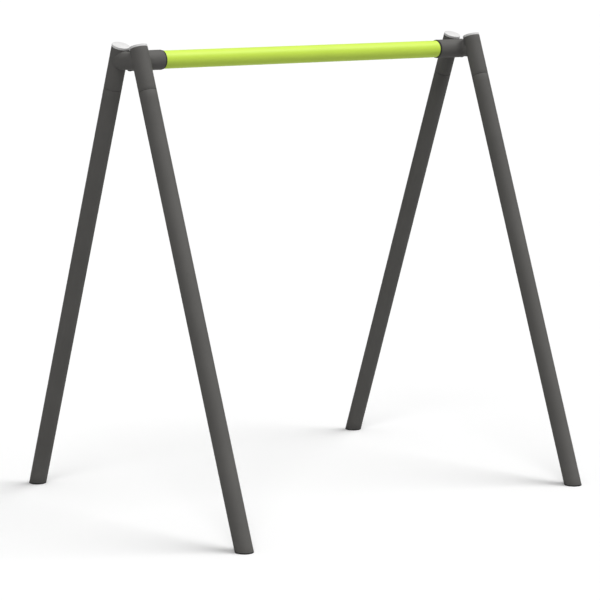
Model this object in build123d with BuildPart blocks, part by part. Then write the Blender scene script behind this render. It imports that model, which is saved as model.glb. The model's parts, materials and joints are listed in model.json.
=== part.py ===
from build123d import *
import os
from math import atan2, cos, sin, tan

# Overhead-bar play frame: one round bar carried between two A-frames.
# X runs along the bar, Y from the front legs to the back legs, Z is up.
# The origin is on the ground under the middle of the bar. Millimetres.

# Overall layout
bar_height = 2252.0       # bar axis above the ground
frame_spacing = 2170.0    # between the planes of the two A-frames
foot_spread = 1800.0      # between front and back leg axes, on the ground
head_spread = 199.0       # between the same axes, at the height of the bar
joint_drop = 146.5        # seam of each leg, along the leg from bar height
head_rise = 67.1          # top of each head tube, along the leg from bar height

# One size of structural tube for the legs, the heads and the bar
tube_radius = 88.9 / 2
tube_wall = 4.0
tube_bore = tube_radius - tube_wall
edge_chamfer = 1.2        # dressed tube ends
seam_groove_width = 1.8   # V-groove round the seam of a leg, half of it in each tube
seam_groove_depth = 2.6

# Head weldment
weld_gap = 0.2            # root gap at each coped joint
cope_setback = 14.0       # blunt sides of a cope, measured from the axis of the head tube
collar_radius = 98.2 / 2
collar_bore = 90.0 / 2
collar_length = 182.7     # from the plane of the A-frame to the collar's mouth
collar_rim = 1.5          # rounded outer edge of the mouth

# Seal ring that closes the mouth of a collar round the bar
seal_seat_radius = 94.0 / 2
seal_seat_depth = 20.0
seal_nose = 8.0           # length that stands out of the mouth
seal_edge = 1.0           # rounded outer edge of the nose

# Bar ends
bar_insertion = 130.0     # length of bar hidden in each collar
plug_length = 110.0       # reaches past both collar screws
plug_bore = 46.0 / 2
plug_setback = 4.0        # from the end of the bar
slide_fit = 0.1           # radial clearance of inner pieces in the tubes

# Leg joints
spigot_length = 220.0     # half of it on each side of the seam
spigot_wall = 8.0
joint_screw_offset = 42.0 # from the seam, one screw above it and one below
collar_screw_spots = (32.0, 74.0)  # from the collar's mouth

# Countersunk M8 socket screws
screw_radius = 4.0
screw_head_radius = 7.8
joint_screw_length = 16.0
collar_screw_length = 25.0
screw_tip_bevel = 0.8
screw_recess = 0.7        # head below the crown of the tube
screw_hole_play = 0.2
screw_hole_depth = 26.0
countersink_angle = 90
socket_flats = 5.0
socket_depth = 3.0

# Caps on the head tubes
cap_rim = 11.5            # height of the cap's edge
cap_height = 14.5         # height of the cap's crown
cap_edge = 1.8            # rounded edge of the cap
cap_foot = 0.8            # small bevel where the cap meets the tube
cap_roof = 3.0            # thickness of the cap under the crown's edge
cap_skirt = 24.0
cap_skirt_wall = 3.0
cap_rib_height = 1.6
cap_rib_depths = (7.0, 13.0, 19.0)
skirt_play = 0.8          # radial play of a push-in skirt; its ribs take it up

# Foot pads
pad_thickness = 5.0
pad_edge = 1.0
pad_skirt = 40.0          # along the leg, from the ground
pad_skirt_wall = 4.0

SIDES = {"left": -1, "right": 1}
ENDS = {"front": -1, "back": 1}
lean = atan2((foot_spread - head_spread) / 2, bar_height)
leg_length = bar_height / cos(lean)          # bar height to ground, along a leg
bar_end = frame_spacing / 2 - collar_length + bar_insertion
trim_length = tube_radius * (1 + tan(lean))  # overrun that an oblique cut takes off


def leg_plane(side, end):
    """Plane across a leg at bar height. Its normal runs up the leg."""
    return Plane(
        origin=(side * frame_spacing / 2, end * head_spread / 2, bar_height),
        x_dir=(1, 0, 0),
        z_dir=(0, -end * sin(lean), cos(lean)),
    )


def bar_plane(x):
    """Plane across the bar. Its normal runs towards +X."""
    return Plane(origin=(x, 0, bar_height), x_dir=(0, 1, 0), z_dir=(1, 0, 0))


def joint_screw_seats(side, end):
    """Seats of the two screws of a leg joint, on the face towards +Y."""
    seats = []
    for offset in (-joint_screw_offset, joint_screw_offset):
        across = leg_plane(side, end).offset(offset - joint_drop)
        seats.append(
            Plane(
                origin=across.origin + across.y_dir * (tube_radius - screw_recess),
                x_dir=across.z_dir,
                z_dir=across.y_dir,
            )
        )
    return seats


def collar_screw_seats(side):
    """Seats of the two screws under a collar."""
    mouth = frame_spacing / 2 - collar_length
    return [
        Plane(
            origin=(side * (mouth + spot), 0, bar_height - collar_radius + screw_recess),
            x_dir=(1, 0, 0),
            z_dir=(0, 0, -1),
        )
        for spot in collar_screw_spots
    ]


def drill(seats):
    """Countersunk holes for the screws, cut into the piece being built."""
    with Locations(*seats):
        CounterSinkHole(
            radius=screw_radius + screw_hole_play,
            counter_sink_radius=screw_head_radius + screw_hole_play,
            depth=screw_hole_depth,
            counter_sink_angle=countersink_angle,
        )


def groove_seam(end_face):
    """Half of a seam's groove, cut into the outer edge of the end face of a tube."""
    rim = end_face.edges().sort_by(SortBy.RADIUS)[-1]
    half_width = seam_groove_width / 2
    chamfer(rim, length=seam_groove_depth, length2=half_width, reference=end_face)


def save(piece, name):
    """Label a finished piece and write it to its own file."""
    piece.part.label = name
    export_step(piece.part, f"parts/{name}.step")


def make_crossbar():
    """The round bar, with screw holes under each end."""
    with BuildPart() as crossbar:
        with BuildSketch(bar_plane(-bar_end)):
            Circle(tube_radius)
            Circle(tube_bore, mode=Mode.SUBTRACT)
        extrude(amount=2 * bar_end)
        end_faces = crossbar.faces().filter_by(Axis.X)
        chamfer(end_faces.edges(), length=edge_chamfer)
        for side in SIDES.values():
            drill(collar_screw_seats(side))
    return crossbar


def make_bar_plug(side):
    """Thick ring in the end of the bar that takes the collar screws."""
    inner_end = bar_end - plug_setback - plug_length
    with BuildPart() as plug:
        with BuildSketch(bar_plane(side * inner_end)):
            Circle(tube_bore - slide_fit)
            Circle(plug_bore, mode=Mode.SUBTRACT)
        extrude(amount=side * plug_length)
        end_faces = plug.faces().filter_by(Axis.X)
        chamfer(end_faces.edges(), length=edge_chamfer)
        drill(collar_screw_seats(side))
    return plug


def make_collar(side):
    """Socket for the bar, coped over the cross tube at its outer end."""
    outer_end = side * frame_spacing / 2
    mouth_plane = bar_plane(outer_end - side * collar_length)
    with BuildPart() as collar:
        with BuildSketch(bar_plane(outer_end)):
            Circle(collar_radius)
            Circle(collar_bore, mode=Mode.SUBTRACT)
        extrude(amount=-side * collar_length)
        mouth = collar.faces().filter_by(Axis.X).sort_by(Axis.X)[0 if side > 0 else -1]
        rim = mouth.edges().sort_by(SortBy.RADIUS)[-1]
        fillet(rim, radius=collar_rim)
        with BuildSketch(mouth_plane):
            Circle(seal_seat_radius)
        extrude(amount=side * seal_seat_depth, mode=Mode.SUBTRACT)
        with BuildSketch(Plane.XZ):
            with Locations((outer_end, bar_height)):
                Circle(tube_radius + weld_gap)
        extrude(amount=2 * collar_radius, both=True, mode=Mode.SUBTRACT)
        drill(collar_screw_seats(side))
    return collar


def make_bar_seal(side):
    """Seal ring, seated in the mouth of a collar, with its nose on the bar."""
    nose_end = frame_spacing / 2 - collar_length - seal_nose
    with BuildPart() as seal:
        with BuildSketch(bar_plane(side * nose_end)):
            Circle(seal_seat_radius - slide_fit)
            Circle(tube_radius + slide_fit, mode=Mode.SUBTRACT)
        extrude(amount=side * (seal_nose + seal_seat_depth))
        nose = seal.faces().filter_by(Axis.X).sort_by(Axis.X)[0 if side > 0 else -1]
        fillet(nose.edges().sort_by(SortBy.RADIUS)[-1], radius=seal_edge)
    return seal


def make_cross_tube(side):
    """Short tube between the two head tubes, coped to both of them."""
    with BuildPart() as cross_tube:
        with BuildSketch(Plane.XZ):
            with Locations((side * frame_spacing / 2, bar_height)):
                Circle(tube_radius)
                Circle(tube_bore, mode=Mode.SUBTRACT)
        extrude(amount=head_spread / 2, both=True)
        for end in ENDS.values():
            with BuildSketch(leg_plane(side, end).offset(-joint_drop)):
                Circle(tube_radius + weld_gap)
                with Locations((0, end * (tube_radius * 2 - cope_setback))):
                    Rectangle(tube_radius * 3, tube_radius * 4)
            extrude(amount=2 * joint_drop, mode=Mode.SUBTRACT)
    return cross_tube


def make_head_tube(side, end):
    """Upper part of a leg, from the seam to the cap."""
    with BuildPart() as head_tube:
        with BuildSketch(leg_plane(side, end).offset(-joint_drop)):
            Circle(tube_radius)
            Circle(tube_bore, mode=Mode.SUBTRACT)
        extrude(amount=joint_drop + head_rise)
        seam_face, top_face = head_tube.faces().filter_by(GeomType.PLANE).sort_by(Axis.Z)
        chamfer(top_face.edges().sort_by(SortBy.RADIUS)[-1], length=edge_chamfer)
        groove_seam(seam_face)
        drill(joint_screw_seats(side, end)[1:])
    return head_tube


def make_leg(side, end):
    """Lower part of a leg, from the seam to the foot pad."""
    with BuildPart() as leg:
        with BuildSketch(leg_plane(side, end).offset(-joint_drop)):
            Circle(tube_radius)
            Circle(tube_bore, mode=Mode.SUBTRACT)
        extrude(amount=-(leg_length - joint_drop + trim_length))
        groove_seam(leg.faces().filter_by(GeomType.PLANE).sort_by(Axis.Z)[-1])
        split(bisect_by=Plane.XY.offset(pad_thickness), keep=Keep.TOP)
        drill(joint_screw_seats(side, end)[:1])
    return leg


def make_spigot(side, end):
    """Inner sleeve that carries a leg across its seam."""
    spigot_radius = tube_bore - slide_fit
    with BuildPart() as spigot:
        with BuildSketch(leg_plane(side, end).offset(-joint_drop)):
            Circle(spigot_radius)
            Circle(spigot_radius - spigot_wall, mode=Mode.SUBTRACT)
        extrude(amount=spigot_length / 2, both=True)
        rims = spigot.edges().filter_by(GeomType.CIRCLE).group_by(SortBy.RADIUS)[-1]
        chamfer(rims, length=edge_chamfer)
        drill(joint_screw_seats(side, end))
    return spigot


def make_cap(side, end):
    """Domed cap with a ribbed skirt that pushes into the head tube."""
    seat = leg_plane(side, end).offset(head_rise)
    section = Plane(origin=seat.origin, x_dir=seat.x_dir, z_dir=-seat.y_dir)
    skirt_radius = tube_bore - skirt_play
    skirt_bore = skirt_radius - cap_skirt_wall
    crown = (0, cap_height)
    shoulder = (tube_radius - cap_edge, cap_rim)
    edge = (tube_radius, cap_rim - cap_edge)
    crown_rise = cap_height - cap_rim
    crown_radius = (shoulder[0] ** 2 + crown_rise**2) / (2 * crown_rise)
    with BuildPart() as cap:
        with BuildSketch(section):
            with BuildLine():
                RadiusArc(crown, shoulder, crown_radius)
                RadiusArc(shoulder, edge, cap_edge)
                Polyline(
                    edge,
                    (tube_radius, cap_foot),
                    (tube_radius - cap_foot, 0),
                    (skirt_radius, 0),
                    (skirt_radius, -cap_skirt),
                    (skirt_bore, -cap_skirt),
                    (skirt_bore, cap_rim - cap_roof),
                    (0, cap_rim - cap_roof),
                    crown,
                )
            make_face()
        revolve(axis=Axis(seat.origin, seat.z_dir))
        for depth in cap_rib_depths:
            with BuildSketch(seat.offset(-depth)):
                Circle(tube_bore)
                Circle(skirt_bore, mode=Mode.SUBTRACT)
            extrude(amount=-cap_rib_height)
    return cap


def make_foot_pad(side, end):
    """Pad under a leg, with a skirt that pushes into the tube."""
    skirt_radius = tube_bore - skirt_play
    below_ground = leg_plane(side, end).offset(-leg_length - trim_length)
    with BuildPart() as foot_pad:
        with BuildSketch(below_ground):
            Circle(tube_radius)
        extrude(amount=2 * trim_length)
        split(bisect_by=Plane.XY.offset(pad_thickness), keep=Keep.BOTTOM)
        with BuildSketch(below_ground):
            Circle(skirt_radius)
            Circle(skirt_radius - pad_skirt_wall, mode=Mode.SUBTRACT)
        extrude(amount=trim_length + pad_skirt)
        split(bisect_by=Plane.XY, keep=Keep.TOP)
        sole = foot_pad.faces().sort_by(Axis.Z)[0]
        fillet(sole.edges(), radius=pad_edge)
    return foot_pad


def make_screws(seats, length):
    """Countersunk socket screws, one in each seat."""
    hanging = (Align.CENTER, Align.CENTER, Align.MAX)
    with BuildPart(*seats) as screws:
        Cone(
            bottom_radius=screw_radius,
            top_radius=screw_head_radius,
            height=screw_head_radius - screw_radius,
            align=hanging,
        )
        Cylinder(screw_radius, length - screw_tip_bevel, align=hanging)
        with Locations((0, 0, screw_tip_bevel - length)):
            Cone(
                bottom_radius=screw_radius - screw_tip_bevel,
                top_radius=screw_radius,
                height=screw_tip_bevel,
                align=hanging,
            )
        with BuildSketch():
            RegularPolygon(socket_flats / 2, 6, major_radius=False)
        extrude(amount=-socket_depth, mode=Mode.SUBTRACT)
    return screws


os.makedirs("parts", exist_ok=True)
save(make_crossbar(), "crossbar")
for side_name, side in SIDES.items():
    save(make_bar_plug(side), f"{side_name}_bar_plug")
    save(make_collar(side), f"{side_name}_collar")
    save(make_bar_seal(side), f"{side_name}_bar_seal")
    save(make_cross_tube(side), f"{side_name}_cross_tube")
    collar_screws = make_screws(collar_screw_seats(side), collar_screw_length)
    save(collar_screws, f"{side_name}_collar_screws")
    for end_name, end in ENDS.items():
        leg_name = f"{side_name}_{end_name}"
        save(make_head_tube(side, end), f"{leg_name}_head_tube")
        save(make_cap(side, end), f"{leg_name}_cap")
        save(make_spigot(side, end), f"{leg_name}_spigot")
        save(make_leg(side, end), f"{leg_name}_leg")
        save(make_foot_pad(side, end), f"{leg_name}_foot_pad")
        joint_screws = make_screws(joint_screw_seats(side, end), joint_screw_length)
        save(joint_screws, f"{leg_name}_joint_screws")
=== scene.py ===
import bpy
import bmesh
import json
from math import cos, pi, radians, sin, sqrt, tau
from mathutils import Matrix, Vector


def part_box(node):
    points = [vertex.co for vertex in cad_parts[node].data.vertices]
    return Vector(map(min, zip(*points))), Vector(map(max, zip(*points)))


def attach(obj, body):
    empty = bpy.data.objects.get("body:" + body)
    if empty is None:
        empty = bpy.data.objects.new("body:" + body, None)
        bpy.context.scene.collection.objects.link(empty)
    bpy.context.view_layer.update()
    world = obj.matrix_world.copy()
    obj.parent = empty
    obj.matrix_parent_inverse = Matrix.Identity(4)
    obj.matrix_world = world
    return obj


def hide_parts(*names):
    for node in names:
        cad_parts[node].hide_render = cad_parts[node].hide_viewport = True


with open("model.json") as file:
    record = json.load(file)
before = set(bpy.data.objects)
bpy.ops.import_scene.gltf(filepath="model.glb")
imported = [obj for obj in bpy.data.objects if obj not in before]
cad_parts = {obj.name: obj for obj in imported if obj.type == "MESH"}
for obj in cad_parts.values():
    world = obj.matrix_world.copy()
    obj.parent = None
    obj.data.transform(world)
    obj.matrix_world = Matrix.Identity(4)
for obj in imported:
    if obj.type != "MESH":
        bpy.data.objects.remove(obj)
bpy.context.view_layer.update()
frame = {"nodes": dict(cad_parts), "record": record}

# Metres throughout, in the frame of the CAD: X along the bar, Y from front to back, Z up.
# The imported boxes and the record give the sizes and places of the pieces. The values below
# are the details that those don't give.

SIDES = ("left", "right")
ENDS = ("front", "back")
LEGS = ("left_front", "left_back", "right_front", "right_back")

SIDEWAYS = Vector((1, 0, 0))
BACKWARDS = Vector((0, 1, 0))
DOWN = Vector((0, 0, -1))

# Fineness of the meshes
AROUND = 96                # points round every tube
LEG_STEPS = 60             # rings along a leg
HEAD_STEPS = 12
CROSS_STEPS = 10
COLLAR_STEPS = 16
BAR_STEPS = 80
ROUND_STEPS = 6            # along a quarter round
CROWN_STEPS = 12           # from the middle of a cap to its shoulder
SEAT_SIDES = 48            # round a screw's seat
WELD_POINTS = 360          # along a weld bead
BEAD_SIDES = 12            # round a weld bead
SHARP_ANGLE = 35           # degrees between two faces that leave their edge crisp
BEAD_SHARP_ANGLE = 80

# Tubes
TUBE_WALL = 0.004
SLIDE_FIT = 0.0001
WELD_GAP = 0.0002
COPE_SETBACK = 0.014       # blunt sides of a cope, from the axis of the head tube

# Profiles of a tube's end, from the end inwards, as pairs: depth below the tube's surface,
# distance from the end
EDGE_RADIUS = 0.0012
MID_ROUND = 1 - sqrt(0.5)  # how far the middle of a quarter round lies from its ends
DRESSED_EDGE = [
    (EDGE_RADIUS, 0),
    (EDGE_RADIUS * MID_ROUND, EDGE_RADIUS * MID_ROUND),
    (0, EDGE_RADIUS),
]
SEAM_GROOVE = [(0.0026, 0), (0.0001, 0.00085), (0, 0.0010)]

# Collars and their seal rings
COLLAR_BORE = 0.045
COLLAR_RIM = 0.0015
COLLAR_SCREWS = (0.032, 0.074)   # from the collar's mouth
SEAL_SEAT_RADIUS = 0.047
SEAL_SEAT_DEPTH = 0.020
SEAL_EDGE = 0.001

# Screws
JOINT_SCREW_OFFSET = 0.042 # above and below the seam
SCREW_RECESS = 0.0007
SCREW_HEAD_RADIUS = 0.0080
SCREW_HOLE_RADIUS = 0.0042
SEAT_CUT_ABOVE = 0.004     # how far the cut for a seat starts outside the tube
SEAT_CUT_DEPTH = 0.02      # and how far inside it ends

# Caps
CAP_RIM = 0.0115
CAP_CROWN = 0.0145
CAP_EDGE = 0.0018
CAP_FOOT = 0.0008          # bevel where the cap meets the tube
CAP_ROOF = 0.003
CAP_SKIRT = 0.024
CAP_SKIRT_WALL = 0.003
SKIRT_PLAY = 0.0008
CAP_TIP = 0.0004           # innermost ring of the crown and of the roof

# Weld beads
BEAD_RADIUS = 0.0021
BEAD_SINK = 0.0010         # how far a bead's middle lies under the tube's surface
RIPPLE_PITCH = 0.0045
RIPPLE_HEIGHT = 0.09       # share of the bead's radius
BEAD_HINT = Vector((0.3, 0.5, 0.8))

# Colours
CHARCOAL_PAINT = (0.131, 0.128, 0.122)
CHARCOAL_DUST = (0.21, 0.20, 0.185, 1)
CHARCOAL_SCUFF = (0.19, 0.187, 0.18, 1)
LIME_PAINT = (0.665, 0.90, 0.102)
LIME_RUB = (0.56, 0.76, 0.10, 1)
PALE_GREY = (0.78, 0.775, 0.77)
ZINC_GREY = (0.55, 0.55, 0.56)
OXIDE_BLACK = (0.02, 0.02, 0.02)
PLASTIC_BLACK = (0.02, 0.02, 0.021, 1)
PLASTIC_DUST = (0.10, 0.095, 0.085, 1)
WHITE = (1, 1, 1, 1)

# Floor, backdrop, lights and camera
FLOOR_SEEN = 0.93
FLOOR_BOUNCE = 0.50        # a white sweep that throws back only half its light
FLOOR_REACH = 60
FLOOR_DROP = 0.0005        # below the feet
DOME_STRENGTH = 0.05
BACKDROP_STRENGTH = 1.05
LIGHTS = (                 # name, azimuth, elevation, strength, spread; angles in degrees
    ("overhead", 0, 89, 1.35, 100),
    ("key", -44, 45, 0.75, 25),
    ("right_high", 50, 55, 1.75, 40),
)
CAMERA_AIM = Vector((-0.0321, 0.0, 0.9813))
CAMERA_AZIMUTH = -38.637
CAMERA_ELEVATION = 8.863
CAMERA_DISTANCE = 12.019
CAMERA_LENS = 138.85       # millimetres, as the sensor is
CAMERA_SENSOR = 36
CAMERA_CLIP = 200


# ---------------------------------------------------------------- places

def middle(node):
    low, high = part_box(node)
    return (low + high) / 2


def size(node):
    low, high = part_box(node)
    return high - low


def across(direction, hint):
    """Two unit vectors square to a direction, the first as near to hint as it can be."""
    first = (hint - direction * hint.dot(direction)).normalized()
    return first, direction.cross(first)


def toward(azimuth, elevation):
    """Unit vector from the object to a place seen from it at these angles, in degrees."""
    turn, rise = radians(azimuth), radians(elevation)
    return Vector((sin(turn) * cos(rise), -cos(turn) * cos(rise), sin(rise)))


tube_radius = size("left_front_leg").x / 2
tube_bore = tube_radius - TUBE_WALL
pad_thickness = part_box("left_front_leg")[0].z
outer_face = abs(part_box("left_front_leg")[0].x)
bar_centre = middle("crossbar")
bar_radius = size("crossbar").y / 2
collar_radius = size("left_collar").y / 2
collar_length = size("left_collar").x
feet = {mount["name"]: Vector(mount["pos_m"]) for mount in frame["record"]["mounts"]}


class Leg:
    """The axis of one leg, from the ground to the top of its head tube."""

    def __init__(self, name):
        self.name = name
        self.foot = feet[f"{name}_foot"]
        self.seam = middle(f"{name}_spigot")
        self.up = (self.seam - self.foot).normalized()
        rim_rise = (tube_radius - EDGE_RADIUS) * abs(self.up.y)
        top_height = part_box(f"{name}_head_tube")[1].z - rim_rise
        self.top = self.seam + self.up * ((top_height - self.seam.z) / self.up.z)
        self.rear = across(self.up, BACKWARDS)[0]
        self.slope = abs(self.up.y) / self.up.z


legs = {name: Leg(name) for name in LEGS}


# ---------------------------------------------------------------- meshes

def add_piece(name, mesh, material, slot, *replaced):
    """Put a finished mesh into the scene as a piece of the frame."""
    piece = bpy.data.objects.new(name, mesh)
    bpy.context.scene.collection.objects.link(piece)
    mesh.materials.append(material)
    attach(piece, "root")
    if replaced:
        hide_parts(*replaced)
    return piece


def mesh_from_rings(name, rings, closed):
    """Quads between rings of equal length; closed joins the last ring to the first."""
    count = len(rings[0])
    vertices = [point for ring in rings for point in ring]
    faces = []
    pairs = len(rings) if closed else len(rings) - 1
    for i in range(pairs):
        here, there = i * count, (i + 1) % len(rings) * count
        for k in range(count):
            after = (k + 1) % count
            faces.append((here + k, here + after, there + after, there + k))
    mesh = bpy.data.meshes.new(name)
    mesh.from_pydata(vertices, [], faces)
    turn_outward(mesh, fill_ends=False)
    return mesh


def turn_outward(mesh, fill_ends):
    """Turn the faces of a mesh outward, after closing its open ends where asked."""
    bm = bmesh.new()
    bm.from_mesh(mesh)
    if fill_ends:
        rim = [edge for edge in bm.edges if edge.is_boundary]
        bmesh.ops.holes_fill(bm, edges=rim, sides=0)
    bmesh.ops.recalc_face_normals(bm, faces=bm.faces)
    bm.to_mesh(mesh)
    bm.free()


def smooth(mesh, angle=SHARP_ANGLE):
    """Smooth shading that stays crisp at the dressed edges."""
    mesh.shade_smooth()
    mesh.set_sharp_from_angle(angle=radians(angle))


def rings_round(origin, direction, hint, count=AROUND):
    """A function that makes one ring of points round a line: its radius, then how far
    along the line a point at a given offset from it lies."""
    first, second = across(direction, hint)
    spokes = [first * cos(tau * k / count) + second * sin(tau * k / count)
              for k in range(count)]

    def ring(reach, place):
        return [origin + spoke * reach + direction * place(spoke * reach) for spoke in spokes]

    return ring


def square(distance):
    """An end cut square to the tube. A cut gives the distance along the axis for a point at
    a given offset from it, so an end may also be slanted or coped."""
    return lambda offset: distance


def shifted(cut, distance):
    """The same cut, moved along the axis."""
    return lambda offset: cut(offset) + distance


def between(first, last, share):
    """A cut that lies between two others."""
    return lambda offset: first(offset) * (1 - share) + last(offset) * share


def tube_mesh(name, ring, radius, bore, start, end, steps,
              start_edge=DRESSED_EDGE, end_edge=DRESSED_EDGE):
    """A tube between two cuts, with the profile of each end."""
    first = shifted(start, start_edge[-1][1])
    last = shifted(end, -end_edge[-1][1])
    rings = [ring(radius - depth, shifted(start, distance)) for depth, distance in start_edge]
    rings += [ring(radius, between(first, last, k / steps)) for k in range(1, steps)]
    rings += [ring(radius - depth, shifted(end, -distance))
              for depth, distance in reversed(end_edge)]
    rings += [ring(bore, end), ring(bore, start)]
    return mesh_from_rings(name, rings, closed=True)


def quarter_round(radius, fillet):
    """(reach, distance) from the end face round to the side of a cylinder."""
    turns = [pi / 2 * k / ROUND_STEPS for k in range(ROUND_STEPS + 1)]
    return [(radius - fillet * (1 - sin(turn)), fillet * (1 - cos(turn))) for turn in turns]


def cut_screw_seat(piece, crown, outward):
    """Cut a countersunk hole through the near wall of a tube. crown is the point of the
    tube's surface over the middle of the hole."""
    cone_depth = SCREW_HEAD_RADIUS - SCREW_HOLE_RADIUS
    outline = [
        (SCREW_HEAD_RADIUS, SEAT_CUT_ABOVE),
        (SCREW_HEAD_RADIUS, -SCREW_RECESS),
        (SCREW_HOLE_RADIUS, -SCREW_RECESS - cone_depth),
        (SCREW_HOLE_RADIUS, -SEAT_CUT_DEPTH),
    ]
    ring = rings_round(crown, outward, SIDEWAYS, SEAT_SIDES)
    rings = [ring(reach, square(height)) for reach, height in outline]
    mesh = mesh_from_rings("cutter", rings, closed=False)
    turn_outward(mesh, fill_ends=True)
    cutter = bpy.data.objects.new("cutter", mesh)
    bpy.context.scene.collection.objects.link(cutter)
    modifier = piece.modifiers.new("seat", "BOOLEAN")
    modifier.object = cutter
    modifier.solver = "EXACT"
    bpy.context.view_layer.update()
    evaluated = piece.evaluated_get(bpy.context.evaluated_depsgraph_get())
    cut = bpy.data.meshes.new_from_object(evaluated)
    piece.modifiers.clear()
    old = piece.data
    piece.data = cut
    cut.name = old.name
    bpy.data.meshes.remove(old)
    bpy.data.objects.remove(cutter)
    bpy.data.meshes.remove(mesh)


# ---------------------------------------------------------------- materials

class Nodes:
    """A short way to build a procedural material."""

    def __init__(self, name):
        self.material = bpy.data.materials.new(name)
        self.material.use_nodes = True
        self.tree = self.material.node_tree
        self.shader = self.tree.nodes["Principled BSDF"]
        self.coords = self.tree.nodes.new("ShaderNodeTexCoord").outputs["Object"]

    def add(self, kind, **inputs):
        node = self.tree.nodes.new(kind)
        for key, value in inputs.items():
            self.feed(node.inputs[key.replace("_", " ")], value)
        return node

    def feed(self, socket, value):
        if isinstance(value, bpy.types.NodeSocket):
            self.tree.links.new(value, socket)
        else:
            socket.default_value = value

    def stretched(self, scale):
        """The object's coordinates, scaled along each axis."""
        return self.add("ShaderNodeMapping", Vector=self.coords, Scale=scale).outputs["Vector"]

    def noise(self, scale, detail=2.0, roughness=0.5, coords=None):
        node = self.add("ShaderNodeTexNoise", Vector=coords or self.coords, Scale=scale,
                        Detail=detail, Roughness=roughness)
        return node.outputs["Fac"]

    def spread(self, value, low, high, start=0.0, stop=1.0):
        """Map start to stop onto low to high."""
        node = self.add("ShaderNodeMapRange", Value=value, From_Min=start, From_Max=stop,
                        To_Min=low, To_Max=high)
        return node.outputs["Result"]

    def vary(self, low, high, scale, detail=2.0):
        """A noise that wanders between two values."""
        return self.spread(self.noise(scale, detail), low, high, start=0.3, stop=0.7)

    def math(self, operation, first, second):
        node = self.tree.nodes.new("ShaderNodeMath")
        node.operation = operation
        self.feed(node.inputs[0], first)
        self.feed(node.inputs[1], second)
        return node.outputs["Value"]

    def tint(self, colour, amount):
        """Multiply a colour by a grey amount."""
        node = self.tree.nodes.new("ShaderNodeVectorMath")
        node.operation = "SCALE"
        self.feed(node.inputs[0], colour)
        self.feed(node.inputs["Scale"], amount)
        return node.outputs["Vector"]

    def blend(self, share, first, second):
        node = self.tree.nodes.new("ShaderNodeMix")
        node.data_type = "RGBA"
        self.feed(node.inputs["Factor"], share)
        self.feed(node.inputs["A"], first)
        self.feed(node.inputs["B"], second)
        return node.outputs["Result"]

    def bump(self, height, distance, strength, normal=None):
        node = self.add("ShaderNodeBump", Height=height, Distance=distance, Strength=strength)
        if normal:
            self.feed(node.inputs["Normal"], normal)
        return node.outputs["Normal"]

    def finish(self, colour, roughness, normal, metallic=0.0, specular=0.5):
        self.feed(self.shader.inputs["Base Color"], colour)
        self.feed(self.shader.inputs["Roughness"], roughness)
        self.feed(self.shader.inputs["Normal"], normal)
        self.feed(self.shader.inputs["Metallic"], metallic)
        self.feed(self.shader.inputs["Specular IOR Level"], specular)
        return self.material


def charcoal_coat():
    """Fine-textured charcoal powder coat, with faint scuffs and dust near the ground."""
    n = Nodes("charcoal_coat")
    mottle = n.vary(0.94, 1.06, scale=4.0, detail=4.0)
    grain = n.vary(0.95, 1.05, scale=900.0)
    colour = n.tint(CHARCOAL_PAINT, n.math("MULTIPLY", mottle, grain))
    height = n.add("ShaderNodeSeparateXYZ", Vector=n.coords).outputs["Z"]
    low_down = n.spread(height, low=0.16, high=0.0, stop=0.22)
    clouds = n.spread(n.noise(scale=26.0, detail=5.0), low=0.0, high=1.0, start=0.4, stop=0.7)
    colour = n.blend(n.math("MULTIPLY", low_down, clouds), colour, CHARCOAL_DUST)
    streaks = n.noise(scale=70.0, detail=6.0, roughness=0.65, coords=n.stretched((1.0, 1.0, 0.12)))
    scuffs = n.spread(streaks, low=0.0, high=0.22, start=0.66, stop=0.76)
    colour = n.blend(scuffs, colour, CHARCOAL_SCUFF)
    roughness = n.vary(0.50, 0.62, scale=12.0, detail=4.0)
    roughness = n.math("ADD", roughness, n.math("MULTIPLY", scuffs, 0.3))
    texture = n.bump(n.noise(scale=750.0, detail=3.0), distance=0.00025, strength=0.5)
    peel = n.bump(n.noise(scale=160.0), distance=0.0004, strength=0.25, normal=texture)
    return n.finish(colour, roughness, peel, specular=0.08)


def lime_coat():
    """Smooth satin lime powder coat, slightly dulled where hands and hangers rub."""
    n = Nodes("lime_coat")
    mottle = n.vary(0.975, 1.025, scale=3.0, detail=3.0)
    colour = n.tint(LIME_PAINT, mottle)
    streaks = n.noise(scale=90.0, detail=6.0, roughness=0.65, coords=n.stretched((1.0, 0.3, 0.3)))
    rubs = n.spread(streaks, low=0.0, high=0.25, start=0.62, stop=0.74)
    colour = n.blend(rubs, colour, LIME_RUB)
    roughness = n.vary(0.34, 0.44, scale=18.0, detail=4.0)
    roughness = n.math("ADD", roughness, n.math("MULTIPLY", rubs, 0.5))
    peel = n.bump(n.noise(scale=330.0), distance=0.0002, strength=0.25)
    return n.finish(colour, roughness, peel, specular=0.22)


def pale_plastic():
    """Satin moulded plastic with a fine spark-eroded grain."""
    n = Nodes("pale_cap")
    colour = n.tint(PALE_GREY, n.vary(0.94, 1.02, scale=45.0, detail=5.0))
    roughness = n.vary(0.42, 0.55, scale=120.0, detail=3.0)
    grain = n.bump(n.noise(scale=1400.0, detail=1.0), distance=0.00012, strength=0.35)
    return n.finish(colour, roughness, grain)


def zinc_plate():
    """Zinc-plated steel with a soft spangle."""
    n = Nodes("zinc_steel")
    spangle = n.add("ShaderNodeTexVoronoi", Vector=n.coords, Scale=180.0).outputs["Color"]
    shade = n.spread(n.add("ShaderNodeSeparateXYZ", Vector=spangle).outputs["X"], 0.88, 1.08)
    colour = n.tint(ZINC_GREY, shade)
    roughness = n.vary(0.32, 0.5, scale=60.0, detail=4.0)
    grain = n.bump(n.noise(scale=500.0), distance=0.0001, strength=0.3)
    return n.finish(colour, roughness, grain, metallic=1.0)


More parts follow.
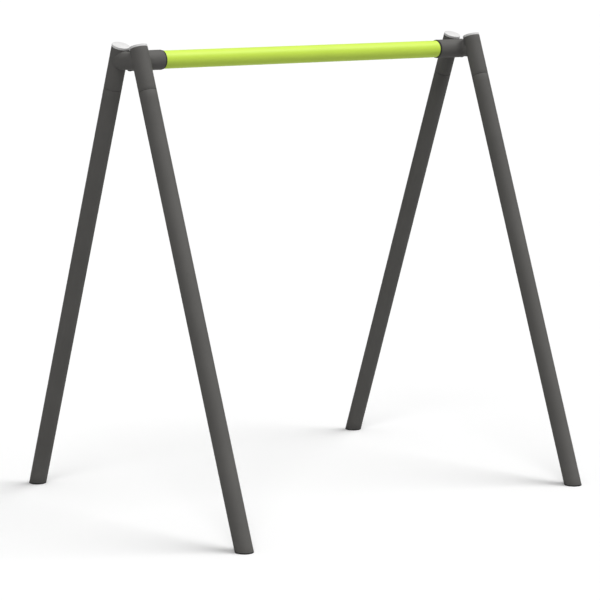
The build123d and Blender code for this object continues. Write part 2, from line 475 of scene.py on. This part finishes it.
def black_oxide():
    """Oiled black oxide on the screws."""
    n = Nodes("black_screw")
    colour = n.tint(OXIDE_BLACK, n.vary(0.7, 1.5, scale=700.0, detail=3.0))
    roughness = n.vary(0.3, 0.5, scale=400.0, detail=3.0)
    grain = n.bump(n.noise(scale=1500.0), distance=0.00008, strength=0.3)
    return n.finish(colour, roughness, grain, metallic=0.6)


def black_plastic(name, dust_share):
    """Matt black polyethylene, greyed by more or less dust."""
    n = Nodes(name)
    dust = n.spread(n.noise(scale=90.0, detail=5.0), low=0.0, high=dust_share, start=0.45, stop=0.75)
    colour = n.blend(dust, PLASTIC_BLACK, PLASTIC_DUST)
    roughness = n.vary(0.62, 0.8, scale=60.0, detail=4.0)
    grain = n.bump(n.noise(scale=900.0, detail=3.0), distance=0.0002, strength=0.5)
    return n.finish(colour, roughness, grain, specular=0.3)


CHARCOAL = charcoal_coat()
LIME = lime_coat()
PALE = pale_plastic()
ZINC = zinc_plate()
OXIDE = black_oxide()
BLACK = black_plastic("black_pad", 0.35)
SEAL = black_plastic("black_seal", 0.15)


# ---------------------------------------------------------------- legs and heads

def make_leg(leg):
    """Lower part of a leg, cut level above its pad."""

    def level(offset):
        return (pad_thickness - offset.z) / leg.up.z

    seam_distance = (leg.seam - leg.foot).length
    ring = rings_round(leg.foot, leg.up, SIDEWAYS)
    mesh = tube_mesh(f"{leg.name}_leg_tube", ring, tube_radius, tube_bore, level,
                     square(seam_distance), LEG_STEPS, end_edge=SEAM_GROOVE)
    piece = add_piece(mesh.name, mesh, CHARCOAL, "charcoal_coat", f"{leg.name}_leg")
    crown = leg.seam - leg.up * JOINT_SCREW_OFFSET + leg.rear * tube_radius
    cut_screw_seat(piece, crown, leg.rear)
    smooth(piece.data)


def make_head_tube(leg):
    """Upper part of a leg, from the seam to the cap."""
    length = (leg.top - leg.seam).length
    ring = rings_round(leg.seam, leg.up, SIDEWAYS)
    mesh = tube_mesh(f"{leg.name}_head", ring, tube_radius, tube_bore, square(0),
                     square(length), HEAD_STEPS, start_edge=SEAM_GROOVE)
    piece = add_piece(mesh.name, mesh, CHARCOAL, "charcoal_coat", f"{leg.name}_head_tube")
    crown = leg.seam + leg.up * JOINT_SCREW_OFFSET + leg.rear * tube_radius
    cut_screw_seat(piece, crown, leg.rear)
    smooth(piece.data)


def cap_outline():
    """Half section of a cap as (radius, height above the tube): crown, edge, skirt, roof."""
    shoulder = tube_radius - CAP_EDGE
    rise = CAP_CROWN - CAP_RIM
    crown_radius = (shoulder ** 2 + rise ** 2) / (2 * rise)
    points = []
    for k in range(CROWN_STEPS + 1):
        reach = max(shoulder * k / CROWN_STEPS, CAP_TIP)
        drop = crown_radius - sqrt(crown_radius ** 2 - reach ** 2)
        points.append((reach, CAP_CROWN - drop))
    for k in range(1, ROUND_STEPS + 1):
        turn = pi / 2 * k / ROUND_STEPS
        points.append((shoulder + CAP_EDGE * sin(turn), CAP_RIM - CAP_EDGE * (1 - cos(turn))))
    skirt = tube_bore - SKIRT_PLAY
    inner = skirt - CAP_SKIRT_WALL
    roof_underside = CAP_RIM - CAP_ROOF
    return points + [
        (tube_radius, CAP_FOOT),
        (tube_radius - CAP_FOOT, 0),
        (skirt, 0),
        (skirt, -CAP_SKIRT),
        (inner, -CAP_SKIRT),
        (inner, roof_underside),
        (CAP_TIP, roof_underside),
    ]


def make_cap(leg):
    """Domed cap that pushes into the head tube."""
    ring = rings_round(leg.top, leg.up, SIDEWAYS)
    rings = [ring(reach, square(height)) for reach, height in cap_outline()]
    mesh = mesh_from_rings(f"{leg.name}_end_cap", rings, closed=False)
    turn_outward(mesh, fill_ends=True)
    add_piece(mesh.name, mesh, PALE, "pale_cap", f"{leg.name}_cap")
    smooth(mesh)


# ---------------------------------------------------------------- cross tubes, collars and bar

def head_cope(leg, reach):
    """Distance in Y from the bar's axis at which a tube along Y meets a leg's head tube."""
    def cut(offset):
        axis = abs(leg.seam.y) - (offset.z + bar_centre.z - leg.seam.z) * leg.slope
        depth = sqrt(max(reach ** 2 - offset.x ** 2, 0))
        return axis - max(depth, COPE_SETBACK) / leg.up.z
    return cut


def make_cross_tube(side):
    """Short tube between the two head tubes, coped to both of them."""
    front, back = legs[f"{side}_front"], legs[f"{side}_back"]
    to_front = head_cope(front, tube_radius + WELD_GAP)
    to_back = head_cope(back, tube_radius + WELD_GAP)

    def front_end(offset):
        return -to_front(offset)

    ring = rings_round(Vector((front.foot.x, 0, bar_centre.z)), BACKWARDS, SIDEWAYS)
    mesh = tube_mesh(f"{side}_cross_piece", ring, tube_radius, tube_bore, front_end, to_back,
                     CROSS_STEPS)
    add_piece(mesh.name, mesh, CHARCOAL, "charcoal_coat", f"{side}_cross_tube")
    smooth(mesh)


def collar_end(offset):
    """Where a collar stops, from its mouth: on the cross tube, or in the frame's plane."""
    reach = tube_radius + WELD_GAP
    return collar_length - sqrt(max(reach ** 2 - offset.z ** 2, 0))


def collar_axis(side):
    """The middle of a collar's mouth, and the way from there to the A-frame."""
    outer_x = legs[f"{side}_front"].foot.x
    outward = Vector((1 if outer_x > 0 else -1, 0, 0))
    return Vector((outer_x, 0, bar_centre.z)) - outward * collar_length, outward


def make_collar(side):
    """Socket for the bar, with a seat for its seal ring, coped over the cross tube."""
    mouth, outward = collar_axis(side)
    ring = rings_round(mouth, outward, BACKWARDS)
    rings = [ring(reach, square(distance))
             for reach, distance in quarter_round(collar_radius, COLLAR_RIM)]
    rings += [ring(collar_radius, between(square(COLLAR_RIM), collar_end, k / COLLAR_STEPS))
              for k in range(1, COLLAR_STEPS + 1)]
    rings += [
        ring(COLLAR_BORE, collar_end),
        ring(COLLAR_BORE, square(SEAL_SEAT_DEPTH)),
        ring(SEAL_SEAT_RADIUS, square(SEAL_SEAT_DEPTH)),
        ring(SEAL_SEAT_RADIUS, square(0)),
    ]
    mesh = mesh_from_rings(f"{side}_bar_collar", rings, closed=True)
    piece = add_piece(mesh.name, mesh, CHARCOAL, "charcoal_coat", f"{side}_collar")
    for spot in COLLAR_SCREWS:
        cut_screw_seat(piece, mouth + outward * spot + DOWN * collar_radius, DOWN)
    smooth(piece.data)


def make_seal(side):
    """Dark ring that closes the mouth of the collar round the bar."""
    mouth, outward = collar_axis(side)
    seal_size = size(f"{side}_bar_seal")
    seal_length, seal_radius, seal_bore = seal_size.x, seal_size.y / 2, bar_radius + SLIDE_FIT
    nose = mouth - outward * (seal_length - SEAL_SEAT_DEPTH)
    ring = rings_round(nose, outward, BACKWARDS)
    outline = quarter_round(seal_radius, SEAL_EDGE)
    outline += [(seal_radius, seal_length), (seal_bore, seal_length), (seal_bore, 0)]
    rings = [ring(reach, square(distance)) for reach, distance in outline]
    mesh = mesh_from_rings(f"{side}_seal_ring", rings, closed=True)
    add_piece(mesh.name, mesh, SEAL, "black_pad", f"{side}_bar_seal")
    smooth(mesh)


def make_crossbar():
    """The lime bar, square-cut inside the collars."""
    half = size("crossbar").x / 2
    ring = rings_round(bar_centre, SIDEWAYS, BACKWARDS)
    mesh = tube_mesh("lime_bar", ring, bar_radius, bar_radius - TUBE_WALL, square(-half),
                     square(half), BAR_STEPS)
    add_piece(mesh.name, mesh, LIME, "lime_coat", "crossbar")
    smooth(mesh)


# ---------------------------------------------------------------- weld beads

def make_bead(name, path):
    """A rippled weld bead along a closed path, under the same paint as the tubes. It is
    dressed flush with the outer faces of the A-frames."""
    travelled = 0.0
    rings = []
    for k, point in enumerate(path):
        ahead, behind = path[(k + 1) % len(path)], path[k - 1]
        direction = (ahead - behind).normalized()
        ripple = 1 + RIPPLE_HEIGHT * abs(sin(pi * travelled / RIPPLE_PITCH))
        ring = rings_round(point, direction, BEAD_HINT, BEAD_SIDES)(BEAD_RADIUS * ripple, square(0))
        for place in ring:
            place.x = max(-outer_face, min(outer_face, place.x))
        rings.append(ring)
        travelled += (ahead - point).length
    mesh = mesh_from_rings(name, rings, closed=True)
    add_piece(name, mesh, CHARCOAL, "charcoal_coat")
    smooth(mesh, BEAD_SHARP_ANGLE)


def weld_path(origin, direction, first, second, radius, cut):
    """Points round a tube's end, where it meets another tube."""
    path = []
    for k in range(WELD_POINTS):
        turn = tau * k / WELD_POINTS
        offset = (first * cos(turn) + second * sin(turn)) * (radius - BEAD_SINK)
        path.append(origin + offset + direction * cut(offset))
    return path


def head_weld_path(leg):
    """Round the cross tube, where it meets the head tube."""
    origin = Vector((leg.foot.x, 0, bar_centre.z))
    direction = BACKWARDS if leg.foot.y > 0 else -BACKWARDS
    return weld_path(origin, direction, SIDEWAYS, -DOWN, tube_radius, head_cope(leg, tube_radius))


def collar_weld_path(side):
    """Round the collar, where it meets the cross tube."""
    mouth, outward = collar_axis(side)
    return weld_path(mouth, outward, BACKWARDS, -DOWN, collar_radius, collar_end)


# ---------------------------------------------------------------- the whole object

def make_pieces():
    for leg in legs.values():
        make_leg(leg)
        make_head_tube(leg)
        make_cap(leg)
    make_crossbar()
    for side in SIDES:
        make_cross_tube(side)
        make_collar(side)
        make_seal(side)
        make_bead(f"{side}_collar_weld", collar_weld_path(side))
        for end in ENDS:
            make_bead(f"{side}_{end}_head_weld", head_weld_path(legs[f"{side}_{end}"]))


def dress(node, material):
    """Give a carried-over CAD node its material."""
    piece = frame["nodes"][node]
    if piece.data.materials:
        piece.material_slots[0].material = material
    else:
        piece.data.materials.append(material)


def dress_carried_nodes():
    for side in SIDES:
        dress(f"{side}_bar_plug", ZINC)
        dress(f"{side}_collar_screws", OXIDE)
    for name in LEGS:
        dress(f"{name}_spigot", ZINC)
        dress(f"{name}_joint_screws", OXIDE)
        dress(f"{name}_foot_pad", BLACK)


# ---------------------------------------------------------------- floor, light and camera

def make_floor():
    """A plain floor, paler to the camera than to the light that falls on it."""
    bm = bmesh.new()
    bmesh.ops.create_grid(bm, x_segments=1, y_segments=1, size=FLOOR_REACH)
    mesh = bpy.data.meshes.new("floor")
    bm.to_mesh(mesh)
    bm.free()
    floor = bpy.data.objects.new("floor", mesh)
    bpy.context.scene.collection.objects.link(floor)
    floor.location.z = -FLOOR_DROP
    n = Nodes("floor")
    seen = n.tree.nodes.new("ShaderNodeLightPath").outputs["Is Camera Ray"]
    colour = n.blend(seen, (FLOOR_BOUNCE,) * 3 + (1,), (FLOOR_SEEN,) * 3 + (1,))
    n.feed(n.shader.inputs["Base Color"], colour)
    n.shader.inputs["Roughness"].default_value = 1.0
    n.shader.inputs["Specular IOR Level"].default_value = 0.0
    mesh.materials.append(n.material)


def make_world():
    """White behind the object, and a plain dome of light that the camera doesn't see."""
    world = bpy.data.worlds.new("studio")
    bpy.context.scene.world = world
    world.use_nodes = True
    tree = world.node_tree
    dome = tree.nodes["Background"]
    dome.inputs["Color"].default_value = WHITE
    dome.inputs["Strength"].default_value = DOME_STRENGTH
    behind = tree.nodes.new("ShaderNodeBackground")
    behind.inputs["Color"].default_value = WHITE
    behind.inputs["Strength"].default_value = BACKDROP_STRENGTH
    choose = tree.nodes.new("ShaderNodeMixShader")
    rays = tree.nodes.new("ShaderNodeLightPath")
    tree.links.new(rays.outputs["Is Camera Ray"], choose.inputs["Fac"])
    tree.links.new(dome.outputs["Background"], choose.inputs[1])
    tree.links.new(behind.outputs["Background"], choose.inputs[2])
    tree.links.new(choose.outputs["Shader"], tree.nodes["World Output"].inputs["Surface"])


def aim_from(thing, direction):
    """Turn a lamp or camera so that it looks back along a direction."""
    thing.rotation_mode = "QUATERNION"
    thing.rotation_quaternion = direction.to_track_quat("Z", "Y")


def soft_light(name, azimuth, elevation, strength, spread):
    """A broad distant light. Azimuth is the way it lies from the object, as a view's is."""
    data = bpy.data.lights.new(name, "SUN")
    data.energy = strength
    data.angle = radians(spread)
    lamp = bpy.data.objects.new(name, data)
    bpy.context.scene.collection.objects.link(lamp)
    aim_from(lamp, toward(azimuth, elevation))


def make_camera():
    """The view that the object is usually shown from: the left front, a little above."""
    data = bpy.data.cameras.new("camera")
    data.lens = CAMERA_LENS
    data.sensor_width = CAMERA_SENSOR
    data.clip_end = CAMERA_CLIP
    camera = bpy.data.objects.new("camera", data)
    bpy.context.scene.collection.objects.link(camera)
    back = toward(CAMERA_AZIMUTH, CAMERA_ELEVATION)
    camera.location = CAMERA_AIM + back * CAMERA_DISTANCE
    aim_from(camera, back)
    bpy.context.scene.camera = camera


make_pieces()
dress_carried_nodes()
make_floor()
make_world()
for light in LIGHTS:
    soft_light(*light)
make_camera()
bpy.context.scene.view_settings.view_transform = "Standard"

bpy.context.view_layer.update()
